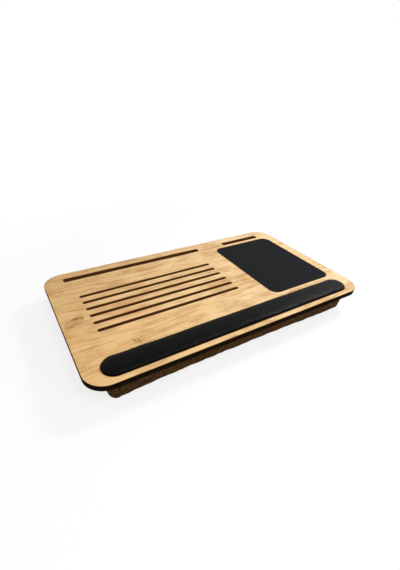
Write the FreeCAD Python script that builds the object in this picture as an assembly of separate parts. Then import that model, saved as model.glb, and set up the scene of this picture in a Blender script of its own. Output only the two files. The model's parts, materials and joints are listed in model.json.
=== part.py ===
import FreeCAD, Part
import math
import os

# Cushioned lap desk: two wood panels with device slots, vents, a mouse pad and a wrist rest,
# held by hook-and-loop strips on a foam cushion in a zipped fabric cover.
# Millimetres, +X to the user's right, +Y away from the user, +Z up.
# The origin is on the floor, under the middle of the board.

# How far a cutter runs past the faces that it cuts
cutter_overrun = 1.0

# Board
board_width = 580.0
board_depth = 334.0
board_corner_radius = 37.0
top_panel_thickness = 5.0
base_panel_thickness = 5.0

# Vents, counted from the front
vent_count = 6
vent_width = 6.0
vent_pitch = 22.3
first_vent_from_front = 122.0
vent_left_margin = 51.5
vent_pad_gap = 52.5

# Device slots in a row along the rear edge
slot_width = 12.0
slot_corner_radius = 2.5
slot_rear_margin = 22.0
tablet_slot_left_margin = 38.5
tablet_slot_length = 317.0
phone_slot_right_margin = 43.0
phone_slot_length = 107.0

# Wrist rest, let into the top panel and glued on the base panel
rest_width = 41.0
rest_side_margin = 29.0
rest_front_margin = 12.5
rest_side_height = 1.5
rest_crown_height = 6.0
rest_top_width_share = 0.3
rest_cover_thickness = 1.0
rest_backer_thickness = 2.0
rest_pocket_clearance = 0.5
rest_foam_clearance = 0.2

# Mouse pad, let into the top panel and glued on the base panel
pad_pocket_width = 162.5
pad_pocket_corner_radius = 18.0
pad_right_margin = 23.5
pad_front_gap = 15.0
pad_rear_gap = 11.0
pad_base_thickness = 3.4
pad_surface_thickness = 0.6
pad_pocket_clearance = 0.5

# Hook-and-loop strips between the board and the cushion
strip_length = 110.0
strip_width = 25.0
strip_corner_radius = 3.0
hook_thickness = 1.0
loop_thickness = 1.0
strip_side_inset = 110.0
strip_front_inset = 45.5

# Cushion, measured at its top edge
cushion_height = 43.0
cushion_side_margin = 28.5
cushion_front_margin = 11.5
cushion_corner_radius = 12.0
cushion_lean_deg = 8.0
side_draw_in = 4.0
rear_draw_in = 3.0
bottom_round_inset = 7.0
bottom_round_height = 10.0
top_round_inset = 3.0
top_round_height = 5.0
flat_cut_depth = 0.5
cover_thickness = 1.2
foam_clearance = 0.2
bottom_seam_height = 4.0
top_seam_drop = 3.0
round_steps = 5

# Zip in the cushion's rear side
zip_corner_length = 36.5
zip_window_width = 14.0
zip_end_margin = 6.0
tape_thickness = 0.6
tape_recess = 0.3
tape_edge_gap = 0.6
coil_row_width = 2.6
coil_row_height = 1.6
coil_edge_radius = 0.7
stop_length = 2.5
stop_wall = 0.3
slider_length = 10.0
slider_width = 9.4
slider_tail_width = 8.0
slider_nose_width = 6.4
slider_plate_thickness = 1.0
slider_clearance = 0.3
slider_stop_gap = 0.4
bridge_width = 1.6
bridge_wall = 0.8
pull_pin_diameter = 1.5
pull_pin_clearance = 0.25
pull_thickness = 1.2
pull_arm_width = 1.0
pull_width = 6.4
pull_length = 24.0
pull_corner_radius = 2.0

# Levels, from the floor up
cushion_top = cushion_height
loop_top = cushion_top + loop_thickness
base_bottom = loop_top + hook_thickness
base_top = base_bottom + base_panel_thickness
board_top = base_top + top_panel_thickness

# Edges of the board and places that follow from them
board_left = -board_width / 2
board_right = board_width / 2
board_front = -board_depth / 2
board_rear = board_depth / 2
slot_middle = board_rear - slot_rear_margin - slot_width / 2
slot_front = slot_middle - slot_width / 2
slot_rear = slot_middle + slot_width / 2
tablet_left = board_left + tablet_slot_left_margin
tablet_right = tablet_left + tablet_slot_length
phone_right = board_right - phone_slot_right_margin
phone_left = phone_right - phone_slot_length
rest_length = board_width - 2 * rest_side_margin
rest_middle = board_front + rest_front_margin + rest_width / 2
rest_rear = rest_middle + rest_width / 2
pad_pocket_right = board_right - pad_right_margin
pad_pocket_left = pad_pocket_right - pad_pocket_width
pad_pocket_front = rest_rear + pad_front_gap
pad_pocket_rear = slot_front - pad_rear_gap
vent_left = board_left + vent_left_margin
vent_right = pad_pocket_left - vent_pad_gap
first_vent = board_front + first_vent_from_front
last_vent = first_vent + (vent_count - 1) * vent_pitch

# Cushion outline at its top edge
cushion_half_width = board_width / 2 - cushion_side_margin
cushion_half_depth = board_depth / 2 - cushion_front_margin
zip_half_length = cushion_half_width - zip_corner_length


def rounded_rectangle(left, right, front, rear, radius, z):
    """Closed outline of four lines and four quarter arcs."""
    corners = (
        (right - radius, rear - radius, 0),
        (left + radius, rear - radius, 90),
        (left + radius, front + radius, 180),
        (right - radius, front + radius, 270),
    )
    arcs = [corner_arc(x, y, radius, start, start + 90, z) for x, y, start in corners]
    return joined_by_lines(arcs)


def corner_arc(x, y, radius, start_deg, end_deg, z):
    """Arc about (x, y) between two angles, counter-clockwise."""
    angles = (start_deg, (start_deg + end_deg) / 2, end_deg)
    points = [polar_point(x, y, radius, angle, z) for angle in angles]
    return Part.Arc(*points).toShape()


def polar_point(x, y, radius, angle_deg, z):
    angle = math.radians(angle_deg)
    return FreeCAD.Vector(x + radius * math.cos(angle), y + radius * math.sin(angle), z)


def joined_by_lines(arcs):
    """Closed wire of arcs, with a line from each arc's end to the next arc's start."""
    edges = []
    for index, arc in enumerate(arcs):
        end = arc.Vertexes[-1].Point
        start = arcs[(index + 1) % len(arcs)].Vertexes[0].Point
        edges.append(arc)
        edges.append(Part.makeLine(end, start))
    return Part.Wire(edges)


def pill(length, width, x, y, z):
    """Outline along X with half-round ends, each of two quarter arcs, about its middle (x, y)."""
    radius = width / 2
    reach = length / 2 - radius
    right = [corner_arc(x + reach, y, radius, start, start + 90, z) for start in (-90, 0)]
    left = [corner_arc(x - reach, y, radius, start, start + 90, z) for start in (90, 180)]
    rear_line = Part.makeLine(right[1].Vertexes[-1].Point, left[0].Vertexes[0].Point)
    front_line = Part.makeLine(left[1].Vertexes[-1].Point, right[0].Vertexes[0].Point)
    return Part.Wire(right + [rear_line] + left + [front_line])


def plate(outline, thickness):
    """Flat plate standing on its outline."""
    return Part.Face(outline).extrude(FreeCAD.Vector(0, 0, thickness))


def box(low, high):
    """Box between two corners."""
    size = [high[axis] - low[axis] for axis in range(3)]
    return Part.makeBox(*size, FreeCAD.Vector(*low))


def vent_and_slot_cutters(bottom, thickness):
    """Cutters for everything that goes through both panels, running past a panel's faces."""
    low = bottom - cutter_overrun
    outlines = []
    for index in range(vent_count):
        y = first_vent + index * vent_pitch
        outlines.append(pill(vent_right - vent_left, vent_width, (vent_left + vent_right) / 2, y, low))
    for left, right in ((tablet_left, tablet_right), (phone_left, phone_right)):
        outlines.append(rounded_rectangle(left, right, slot_front, slot_rear, slot_corner_radius, low))
    return [plate(outline, thickness + 2 * cutter_overrun) for outline in outlines]


def board_outline(z):
    return rounded_rectangle(board_left, board_right, board_front, board_rear, board_corner_radius, z)


def base_panel():
    """Lower panel: closed under the pad and the wrist rest."""
    panel = plate(board_outline(base_bottom), base_panel_thickness)
    return panel.cut(vent_and_slot_cutters(base_bottom, base_panel_thickness))


def top_panel():
    """Upper panel with its pockets for the pad and the wrist rest."""
    panel = plate(board_outline(base_top), top_panel_thickness)
    cutters = vent_and_slot_cutters(base_top, top_panel_thickness)
    pad_outline = rounded_rectangle(
        pad_pocket_left, pad_pocket_right, pad_pocket_front, pad_pocket_rear,
        pad_pocket_corner_radius, base_top - cutter_overrun,
    )
    rest_outline = pill(
        rest_length + 2 * rest_pocket_clearance, rest_width + 2 * rest_pocket_clearance,
        0, rest_middle, base_top - cutter_overrun,
    )
    for outline in (pad_outline, rest_outline):
        cutters.append(plate(outline, top_panel_thickness + 2 * cutter_overrun))
    return panel.cut(cutters)


def pad_sheet(bottom, thickness):
    """One layer of the mouse pad, a clearance smaller than its pocket."""
    outline = rounded_rectangle(
        pad_pocket_left + pad_pocket_clearance, pad_pocket_right - pad_pocket_clearance,
        pad_pocket_front + pad_pocket_clearance, pad_pocket_rear - pad_pocket_clearance,
        pad_pocket_corner_radius - pad_pocket_clearance, bottom,
    )
    return plate(outline, thickness)


def mouse_pad_base():
    return pad_sheet(base_top, pad_base_thickness)


def mouse_pad_surface():
    return pad_sheet(base_top + pad_base_thickness, pad_surface_thickness)


def rest_form(inset, bottom, crown):
    """Crowned pill: upright sides, then a full round shoulder up to a narrow flat ridge."""
    side_top = board_top + rest_side_height
    length = rest_length - 2 * inset
    width = rest_width - 2 * inset
    outlines = [pill(length, width, 0, rest_middle, z) for z in (bottom, side_top)]
    last_angle = math.acos(rest_top_width_share ** 2)
    for step in range(1, round_steps + 2):
        angle = last_angle * step / (round_steps + 1)
        level_width = width * math.sqrt(math.cos(angle))
        level_length = length - width + level_width
        height = side_top + (crown - side_top) * math.sin(angle)
        outlines.append(pill(level_length, level_width, 0, rest_middle, height))
    return Part.makeLoft(outlines, True, True)


def wrist_rest_backer():
    inset = rest_cover_thickness + rest_foam_clearance
    outline = pill(rest_length - 2 * inset, rest_width - 2 * inset, 0, rest_middle, base_top)
    return plate(outline, rest_backer_thickness)


def wrist_rest_foam():
    inset = rest_cover_thickness + rest_foam_clearance
    crown = board_top + rest_crown_height - inset
    return rest_form(inset, base_top + rest_backer_thickness, crown)


def wrist_rest_cover():
    """Leatherette shell, open underneath, its rim on the base panel."""
    outer = rest_form(0, base_top, board_top + rest_crown_height)
    crown = board_top + rest_crown_height - rest_cover_thickness
    return outer.cut(rest_form(rest_cover_thickness, base_top - cutter_overrun, crown))


def strips(bottom, thickness):
    """Four like strips, two near the front and two between the vents and the slots."""
    x_middle = cushion_half_width - strip_side_inset
    front_middle = board_front + cushion_front_margin + strip_front_inset
    rear_middle = (last_vent + vent_width / 2 + slot_front) / 2
    solids = []
    for y in (front_middle, rear_middle):
        for x in (-x_middle, x_middle):
            outline = rounded_rectangle(
                x - strip_length / 2, x + strip_length / 2,
                y - strip_width / 2, y + strip_width / 2, strip_corner_radius, bottom,
            )
            solids.append(plate(outline, thickness))
    return Part.Compound(solids)


def hook_strips():
    return strips(loop_top, hook_thickness)


def loop_strips():
    return strips(cushion_top, loop_thickness)


def lean_inset(z):
    """How far the cushion's side has leaned in at a height."""
    return (cushion_height - z) * math.tan(math.radians(cushion_lean_deg))


def cushion_outline(inset, radius, z):
    """Rounded corners joined by sides that draw in, the rear side straight along the zip."""
    x = cushion_half_width - inset - radius
    y = cushion_half_depth - inset - radius
    end_turn = math.degrees(2 * math.atan(side_draw_in / y))
    front_turn = math.degrees(2 * math.atan(side_draw_in / x))
    rear_turn = math.degrees(2 * math.atan(rear_draw_in / (x - zip_half_length)))
    rear_right = corner_arc(x, y, radius, -end_turn, 90 + rear_turn, z)
    rear_left = corner_arc(-x, y, radius, 90 - rear_turn, 180 + end_turn, z)
    front_left = corner_arc(-x, -y, radius, 180 - end_turn, 270 + front_turn, z)
    front_right = corner_arc(x, -y, radius, 270 - front_turn, 360 + end_turn, z)
    rear_y = y + radius - rear_draw_in
    rear = rear_side(rear_right, rear_left, rear_y, rear_turn, x, radius, z)
    left_point = FreeCAD.Vector(side_draw_in - x - radius, 0, z)
    front_point = FreeCAD.Vector(0, side_draw_in - y - radius, z)
    right_point = FreeCAD.Vector(x + radius - side_draw_in, 0, z)
    return Part.Wire(
        [rear_right]
        + rear
        + [rear_left, side_arc(rear_left, left_point, front_left)]
        + [front_left, side_arc(front_left, front_point, front_right)]
        + [front_right, side_arc(front_right, right_point, rear_right)]
    )


def side_arc(corner, middle, next_corner):
    """Shallow arc from one corner's end through a drawn-in middle to the next corner's start."""
    return Part.Arc(corner.Vertexes[-1].Point, middle, next_corner.Vertexes[0].Point).toShape()


def rear_side(rear_right, rear_left, rear_y, turn_deg, corner_x, radius, z):
    """A straight line along the zip, eased into each corner by a tangent arc."""
    turn = math.radians(turn_deg)
    ease_radius = (corner_x - zip_half_length) / math.sin(turn) - radius
    x_ease = zip_half_length + ease_radius * math.sin(turn / 2)
    y_ease = rear_y + ease_radius * (1 - math.cos(turn / 2))
    right_end = FreeCAD.Vector(zip_half_length, rear_y, z)
    left_end = FreeCAD.Vector(-zip_half_length, rear_y, z)
    right_arc = Part.Arc(rear_right.Vertexes[-1].Point, FreeCAD.Vector(x_ease, y_ease, z), right_end)
    left_arc = Part.Arc(left_end, FreeCAD.Vector(-x_ease, y_ease, z), rear_left.Vertexes[0].Point)
    return [right_arc.toShape(), Part.makeLine(right_end, left_end), left_arc.toShape()]


def cushion_form(skin, clearance):
    """The cushion's outer form, or the form inside a skin, flat where it stands.

    The side leans in towards the floor between two rounded edges. A clearance
    takes the sides in by that much more, but not the top and the bottom.
    """
    radius = cushion_corner_radius - skin - clearance
    low_middle = bottom_round_height
    low_inset = lean_inset(low_middle) + bottom_round_inset + clearance
    low_reach = bottom_round_inset - skin
    low_drop = bottom_round_height + flat_cut_depth - skin
    high_middle = cushion_height - top_round_height
    high_inset = lean_inset(high_middle) + top_round_inset + clearance
    high_reach = top_round_inset - skin
    high_rise = top_round_height - skin
    levels = []
    for step in range(round_steps, -1, -1):
        angle = math.pi / 2 * step / round_steps
        levels.append((low_inset - low_reach * math.cos(angle), low_middle - low_drop * math.sin(angle)))
    for step in range(0, round_steps + 1):
        angle = math.pi / 2 * step / round_steps
        levels.append((high_inset - high_reach * math.cos(angle), high_middle + high_rise * math.sin(angle)))
    form = Part.makeLoft([cushion_outline(inset, radius, z) for inset, z in levels], True, True)
    return form.cut(box((board_left, board_front, -cushion_height), (board_right, board_rear, skin)))


def slice_between(shape, bottom, top):
    """The part of a shape between two heights."""
    return shape.common(box((board_left, board_front, bottom), (board_right, board_rear, top)))


def cushion_foam():
    return cushion_form(cover_thickness, foam_clearance)


def zip_place():
    """The zip's own frame: X along it, Y out of the leaning wall, Z up the wall."""
    height = (bottom_round_height + cushion_height - top_round_height) / 2
    wall = cushion_half_depth - lean_inset(height) - rear_draw_in
    lean = FreeCAD.Rotation(FreeCAD.Vector(1, 0, 0), -cushion_lean_deg)
    return FreeCAD.Placement(FreeCAD.Vector(0, wall, height), lean)


def on_wall(shape):
    """Moves a shape from the zip's own frame to its place."""
    placed = shape.copy()
    placed.Placement = zip_place()
    return placed


def cover_pieces():
    """The fabric cover, cut along its seams."""
    shell = cushion_form(0, 0).cut(cushion_form(cover_thickness, 0))
    top_seam = cushion_height - top_seam_drop
    band = slice_between(shell, bottom_seam_height, top_seam)
    rear_block = box((-zip_half_length, 0, 0), (zip_half_length, board_rear, cushion_height))
    half_window = zip_window_width / 2
    far = board_depth
    above_window = on_wall(box((-board_width, -far, half_window), (board_width, far, far)))
    below_window = on_wall(box((-board_width, -far, -far), (board_width, far, -half_window)))
    rear = band.common(rear_block)
    return {
        "cushion_bottom_panel": slice_between(shell, 0, bottom_seam_height),
        "cushion_side_band": band.cut(rear_block),
        "cushion_rear_strip_upper": rear.common(above_window),
        "cushion_rear_strip_lower": rear.common(below_window),
        "cushion_top_panel": slice_between(shell, top_seam, cushion_height),
    }


# Zip, built in its own frame: y is 0 on the cover's outer face and grows outwards.
tape_face = -tape_recess
coil_top = tape_face + coil_row_height
coil_half_length = zip_half_length - zip_end_margin
coil_inner_edge = tape_edge_gap / 2
coil_outer_edge = coil_inner_edge + coil_row_width
plate_bottom = coil_top + slider_clearance
plate_top = plate_bottom + slider_plate_thickness
channel_half_width = coil_outer_edge + stop_wall + slider_clearance
pin_height = plate_top + slider_clearance + pull_pin_diameter / 2
hole_radius = pull_pin_diameter / 2 + pull_pin_clearance
bridge_radius = hole_radius + bridge_wall
slider_middle = -coil_half_length + stop_length + slider_stop_gap + slider_length / 2


def zip_tape(side):
    """One woven tape, from the gap in the middle to the edge of the window. Side is 1 or -1."""
    heights = sorted((side * tape_edge_gap / 2, side * zip_window_width / 2))
    low = (-zip_half_length, tape_face - tape_thickness, heights[0])
    high = (zip_half_length, tape_face, heights[1])
    return on_wall(box(low, high))


def zip_coil(side):
    """One row of the coil as the bar that it fills, its outer edges rounded."""
    heights = sorted((side * coil_inner_edge, side * coil_outer_edge))
    low = (-coil_half_length + stop_length, tape_face, heights[0])
    high = (coil_half_length - stop_length, coil_top, heights[1])
    row = box(low, high)
    long_edges = [
        edge for edge in row.Edges
        if edge.BoundBox.XLength > stop_length and edge.BoundBox.YMin > tape_face + coil_row_height / 2
    ]
    return on_wall(row.makeFillet(coil_edge_radius, long_edges))


def zip_top_stops():
    """A clip on each tape at the closed end."""
    solids = []
    for side in (-1, 1):
        heights = sorted((side * coil_inner_edge, side * (coil_outer_edge + stop_wall)))
        low = (-coil_half_length, tape_face, heights[0])
        high = (-coil_half_length + stop_length, coil_top + stop_wall, heights[1])
        solids.append(on_wall(box(low, high)))
    return Part.Compound(solids)


def zip_bottom_stop():
    """One clip across both tapes at the open end."""
    half = coil_outer_edge + stop_wall
    low = (coil_half_length - stop_length, tape_face, -half)
    high = (coil_half_length, coil_top + stop_wall, half)
    return on_wall(box(low, high))


def zip_slider():
    """Shield-shaped plate with a flange down each side of the coil and a bridge for the pull."""
    tail = slider_middle + slider_length / 2
    nose = slider_middle - slider_length / 2
    outline = [
        (tail, slider_tail_width / 2), (slider_middle, slider_width / 2), (nose, slider_nose_width / 2),
        (nose, -slider_nose_width / 2), (slider_middle, -slider_width / 2), (tail, -slider_tail_width / 2),
    ]
    flange_bottom = tape_face + slider_clearance
    corners = [FreeCAD.Vector(x, flange_bottom, z) for x, z in outline]
    shield = Part.Face(Part.makePolygon(corners + corners[:1]))
    body = shield.extrude(FreeCAD.Vector(0, plate_top - flange_bottom, 0))
    channel_low = (nose - cutter_overrun, flange_bottom - cutter_overrun, -channel_half_width)
    channel_high = (tail + cutter_overrun, plate_bottom, channel_half_width)
    body = body.cut(box(channel_low, channel_high))
    return on_wall(body.fuse(slider_bridge()).removeSplitter())


def slider_bridge():
    """Round-topped lug with a cross hole for the pull's pin."""
    start = FreeCAD.Vector(slider_middle, pin_height, -bridge_width / 2)
    upward = FreeCAD.Vector(0, 0, 1)
    lug = Part.makeCylinder(bridge_radius, bridge_width, start, upward)
    low = (slider_middle - bridge_radius, plate_bottom, -bridge_width / 2)
    high = (slider_middle + bridge_radius, pin_height, bridge_width / 2)
    hole = Part.makeCylinder(hole_radius, bridge_width, start, upward)
    return lug.fuse(box(low, high)).cut(hole).cut(box_below_plate())


def box_below_plate():
    """Keeps the lug's foot out of the coil's channel."""
    reach = slider_length
    low = (slider_middle - reach, plate_bottom - reach, -reach)
    high = (slider_middle + reach, plate_bottom, reach)
    return box(low, high)


def zip_pull_tab():
    """Flat tab with an eye round the bridge, closed by the pin through it."""
    eye_half_width = bridge_width / 2 + pull_pin_clearance
    eye_length = bridge_radius + slider_clearance
    bottom = pin_height - pull_thickness / 2
    half = pull_width / 2
    end = slider_middle + pull_length
    start = slider_middle - pull_pin_diameter / 2
    tab = box((start, bottom, -half), (end, bottom + pull_thickness, half))
    upright_edges = [edge for edge in tab.Edges if edge.BoundBox.YLength > pull_thickness / 2]
    far_edges = [edge for edge in upright_edges if edge.BoundBox.XMin > slider_middle]
    tab = tab.makeFillet(pull_corner_radius, far_edges)
    waist_half = eye_half_width + pull_arm_width
    outside = half + cutter_overrun
    for low_z, high_z in ((-outside, -waist_half), (-eye_half_width, eye_half_width), (waist_half, outside)):
        low = (start - cutter_overrun, bottom - cutter_overrun, low_z)
        high = (slider_middle + eye_length, bottom + pull_thickness + cutter_overrun, high_z)
        tab = tab.cut(box(low, high))
    foot = FreeCAD.Vector(slider_middle, pin_height, -waist_half)
    pin = Part.makeCylinder(pull_pin_diameter / 2, 2 * waist_half, foot, FreeCAD.Vector(0, 0, 1))
    return on_wall(tab.fuse(pin).removeSplitter())


pieces = {
    "top_panel": top_panel(),
    "base_panel": base_panel(),
    "mouse_pad_surface": mouse_pad_surface(),
    "mouse_pad_base": mouse_pad_base(),
    "wrist_rest_cover": wrist_rest_cover(),
    "wrist_rest_foam": wrist_rest_foam(),
    "wrist_rest_backer": wrist_rest_backer(),
    "hook_strips": hook_strips(),
    "loop_strips": loop_strips(),
    "cushion_foam": cushion_foam(),
    "zip_tape_upper": zip_tape(1),
    "zip_tape_lower": zip_tape(-1),
    "zip_coil_upper": zip_coil(1),
    "zip_coil_lower": zip_coil(-1),
    "zip_top_stops": zip_top_stops(),
    "zip_bottom_stop": zip_bottom_stop(),
    "zip_slider": zip_slider(),
    "zip_pull_tab": zip_pull_tab(),
}
pieces.update(cover_pieces())

os.makedirs("parts", exist_ok=True)
for name, shape in pieces.items():
    shape.exportStep("parts/" + name + ".step")
    print(name, "valid" if shape.isValid() else "NOT VALID", len(shape.Solids), round(shape.Volume))
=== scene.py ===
import json
import math

import bmesh
import bpy
import numpy as np
from bpy.props import FloatProperty, FloatVectorProperty, PointerProperty
from mathutils import Matrix, Vector, geometry, noise


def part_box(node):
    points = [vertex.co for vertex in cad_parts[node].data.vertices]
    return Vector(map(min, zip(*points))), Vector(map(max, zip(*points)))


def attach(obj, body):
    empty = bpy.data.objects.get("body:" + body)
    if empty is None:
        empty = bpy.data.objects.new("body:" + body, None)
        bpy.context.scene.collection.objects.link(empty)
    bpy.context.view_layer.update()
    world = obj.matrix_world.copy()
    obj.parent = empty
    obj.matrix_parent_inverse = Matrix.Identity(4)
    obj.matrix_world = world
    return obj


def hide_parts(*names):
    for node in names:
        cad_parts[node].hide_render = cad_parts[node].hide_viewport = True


bl_info = {
    "name": "Cushioned Lap Desk",
    "version": (1, 0, 0),
    "blender": (4, 5, 0),
    "location": "3D View > Sidebar > Lap Desk",
    "description": "Builds the looks of a cushioned lap desk round its packed model",
    "category": "Object",
}

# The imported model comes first, because sizes and places below are read from it
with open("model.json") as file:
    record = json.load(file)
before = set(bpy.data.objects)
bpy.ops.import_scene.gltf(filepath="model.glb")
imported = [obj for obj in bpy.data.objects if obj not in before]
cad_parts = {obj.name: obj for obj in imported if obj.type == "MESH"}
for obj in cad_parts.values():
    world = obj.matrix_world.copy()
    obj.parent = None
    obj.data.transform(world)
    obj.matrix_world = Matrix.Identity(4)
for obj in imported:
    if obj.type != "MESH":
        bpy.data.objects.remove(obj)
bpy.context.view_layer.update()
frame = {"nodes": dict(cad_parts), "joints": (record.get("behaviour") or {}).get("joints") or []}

MM = 0.001
# Two points closer than this are the same point
SAME = 1e-6
CORNER_STEPS = 20


def tone(red, green, blue):
    """Scene-linear colour of a tone as a screen shows it, each part from 0 to 255."""
    shares = (red / 255, green / 255, blue / 255)
    linear = [s / 12.92 if s <= 0.04045 else ((s + 0.055) / 1.055) ** 2.4 for s in shares]
    return (*linear, 1.0)


def place(name, description, millimetres, **limits):
    return FloatProperty(
        name=name, description=description, default=millimetres * MM, unit="LENGTH", precision=5,
        **limits,
    )


def size(name, description, millimetres):
    return place(name, description, millimetres, min=0)


def colour(name, description, red, green, blue):
    return FloatVectorProperty(
        name=name, description=description, default=tone(red, green, blue),
        subtype="COLOR", size=4, min=0, max=1,
    )


def amount(name, description, default, **limits):
    return FloatProperty(name=name, description=description, default=default, **limits)


def angle(name, description, degrees):
    return FloatProperty(
        name=name, description=description, default=math.radians(degrees), subtype="ANGLE"
    )


class BoardSettings(bpy.types.PropertyGroup):
    edge_softness: size("Edge softness", "Rounding of the cut edges of both panels", 0.3)
    edge_burn: size("Burnt rim, edge", "Width of the burnt rim along the board's edge", 0.8)
    cut_burn: size("Burnt rim, cut-outs", "Width of the burnt rim round the cut-outs", 1.6)
    oak_light: colour("Light oak", "Early wood towards the left end", 228, 188, 130)
    # Painted light: the early wood's tone towards the right end is paler where the light falls
    painted_light_oak_right: colour("Pale oak", "Early wood towards the right end", 232, 204, 160)
    oak_dark: colour("Dark oak", "Late wood in the grain lines", 183, 136, 84)
    knot_tone: colour("Knot", "Rings and heart of a knot", 150, 103, 60)
    toast_tone: colour("Toasted rim", "Wood beside a burnt edge", 138, 92, 50)
    # The two char tones are lit and shaded copies of one burnt face: painted light inside the
    # cut-outs, painted shade round the board's edge
    painted_light_char_slot: colour("Burnt slot", "Charred face inside the cut-outs", 96, 58, 28)
    painted_shade_char_edge: colour("Burnt edge", "Charred face round the board", 20, 11, 5)
    grain_width: size("Grain width", "Mean width of a grain line", 6.5)
    grain_length: size("Grain length", "Length over which a grain line changes", 260)
    knot_x: place("Knot, X", "Place of the large knot along the board", -267)
    knot_y: place("Knot, Y", "Place of the large knot across the board", -5)
    knot_length: size("Knot length", "Half length of the large knot", 17)
    knot_width: size("Knot width", "Half width of the large knot", 9)
    knot_turn: angle("Knot turn", "Turn of the large knot from the grain", 29)


class MousePadSettings(bpy.types.PropertyGroup):
    edge_rounding: size("Edge rounding", "Rounding of the cloth's upper edge", 0.4)
    weave: size("Weave", "Spacing of the cloth's threads", 0.55)
    cloth_tone: colour("Cloth", "Charcoal cloth", 28, 30, 32)
    rubber_tone: colour("Rubber", "Rubber sheet under the cloth", 24, 24, 25)


class WristRestSettings(bpy.types.PropertyGroup):
    side_height: size("Side height", "Height of the upright side above the board", 1.5)
    skin: size("Leather thickness", "Thickness of the leatherette", 1.0)
    grain: size("Leather grain", "Size of the leather's pebbles", 1.0)
    pressure: amount("Pressure", "Pressure of the padding on the leatherette", 3.0, min=0)
    swell_limit: size("Swell limit", "How far the padding may push the leatherette out", 0.4)
    leather_tone: colour("Leatherette", "Black leatherette", 6, 6, 5)


class CushionSettings(bpy.types.PropertyGroup):
    lean: angle("Lean", "How far the sides lean in towards the lap", 8)
    corner_radius: size("Corner radius", "Radius of the upright corners", 12)
    corner_peak: size("Corner peak", "How far the lower corners stick out", 1.0)
    right_slack: size("Right slack", "How far the right end stops short of the full width", 5.0)
    corner_reach: size("Corner reach", "How far along the sides a corner's peak is felt", 20)
    corner_lift: size("Corner lift", "How far the slack front right corner lifts off the lap", 7.0)
    lift_reach: size("Lift reach", "How far along the front the slack corner's lift is felt", 60)
    side_draw_in: size("Side draw-in", "How far a side's middle is drawn in", 4)
    rear_draw_in: size("Rear draw-in", "How far the zip's straight side is drawn in", 3)
    bottom_round_inset: size("Lower edge, inwards", "Depth of the lower edge's rounding", 7)
    bottom_round_height: size("Lower edge, upwards", "Height of the lower edge's rounding", 10)
    top_round_inset: size("Upper edge, inwards", "Depth of the upper edge's rounding", 3)
    top_round_height: size("Upper edge, downwards", "Height of the upper edge's rounding", 5)
    zip_window: size("Zip window", "Height of the opening that the zip fills", 14)
    cloth: size("Cloth thickness", "Thickness of the cover's cloth", 1.0)
    seam_depth: size("Seam depth", "How far a panel's edge is pulled into its seam", 0.6)
    swell_limit: size("Swell limit", "How far the filling may push the cloth out", 2.0)
    pucker: size("Pucker", "Height of the puckers beside a seam", 0.25)
    unevenness: size("Unevenness", "Height of the slow waves in the cloth", 0.2)
    pressure: amount("Pressure", "Pressure of the filling on the cloth", 4.0, min=0)
    yarn: size("Yarn", "Spacing of the cloth's yarns", 1.1)
    cloth_tone: colour("Cloth", "Dark brown cloth", 84, 59, 32)
    cloth_shade: colour("Cloth, shaded", "Cloth where the darker yarn shows", 21, 13, 6)
    foam_tone: colour("Foam", "Foam inside", 226, 219, 200)


class ZipSettings(bpy.types.PropertyGroup):
    tooth_pitch: size("Tooth pitch", "Spacing of the coil's turns", 1.35)
    tooth_wire: size("Coil wire", "Thickness of the coil's wire", 0.66)
    stitch_length: size("Stitch length", "Length of a stitch", 2.6)
    stitch_gap: size("Stitch gap", "Gap from one stitch to the next", 0.6)
    thread: size("Thread", "Thickness of the thread", 0.45)
    stitch_inset: size("Stitch inset", "From the zip window's edge to the row of stitches", 2.2)
    tape_tone: colour("Tape", "Woven zip tape", 46, 33, 22)
    coil_tone: colour("Coil", "Nylon coil", 38, 27, 19)
    metal_tone: colour("Metal", "Dark bronze slider, pull and stops", 92, 80, 64)
    thread_tone: colour("Thread", "Sewing thread", 128, 98, 64)


class StageSettings(bpy.types.PropertyGroup):
    floor_size: size("Floor size", "Side of the floor", 12000)
    floor_gap: size("Floor gap", "Gap between the floor and the cushion's underside", 0.3)
    foot_inset: size("Foot inset", "From the cushion's sides to the floor's opening", 20)
    floor_tone: colour("Floor", "Floor and background", 250, 250, 250)
    shadow_reach: size("Shadow reach", "Where the floor has faded into the background", 750)
    camera_x: place("Camera, X", "The camera's place", -336.7)
    camera_y: place("Camera, Y", "The camera's place", -500.0)
    camera_z: place("Camera, Z", "The camera's place", 429.9)
    heading: angle("Heading", "The camera's turn from straight ahead to the right", 33.0)
    depression: angle("Depression", "How far the camera looks down", 32.23)
    roll: angle("Roll", "The camera's roll", 3.08)
    focal_pixels: amount("Focal length", "The lens in points of the picture", 341.28)
    key_power: amount("Key light", "Power of the lamp on the right, in watts", 11.5)
    front_power: amount("Front light", "Power of the lamp in front, in watts", 7.5)
    ambient: amount("Ambient", "Strength of the even light all round", 0.43)
    shadow: amount("Shadow", "How much of the floor's shadow the camera sees", 0.22, min=0, max=1)


GROUPS = {
    "board": BoardSettings, "mouse_pad": MousePadSettings, "wrist_rest": WristRestSettings,
    "cushion": CushionSettings, "zip": ZipSettings, "stage": StageSettings,
}


def settings(group):
    return getattr(bpy.context.scene, "lap_desk_" + group)


# Materials


def operator(operation, swapped=False):
    """A Python operator that adds a Math node. Swapped is its reflected form."""

    def apply(self, other):
        sides = (other, self) if swapped else (self, other)
        return self.math(operation, *sides)

    return apply


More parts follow.
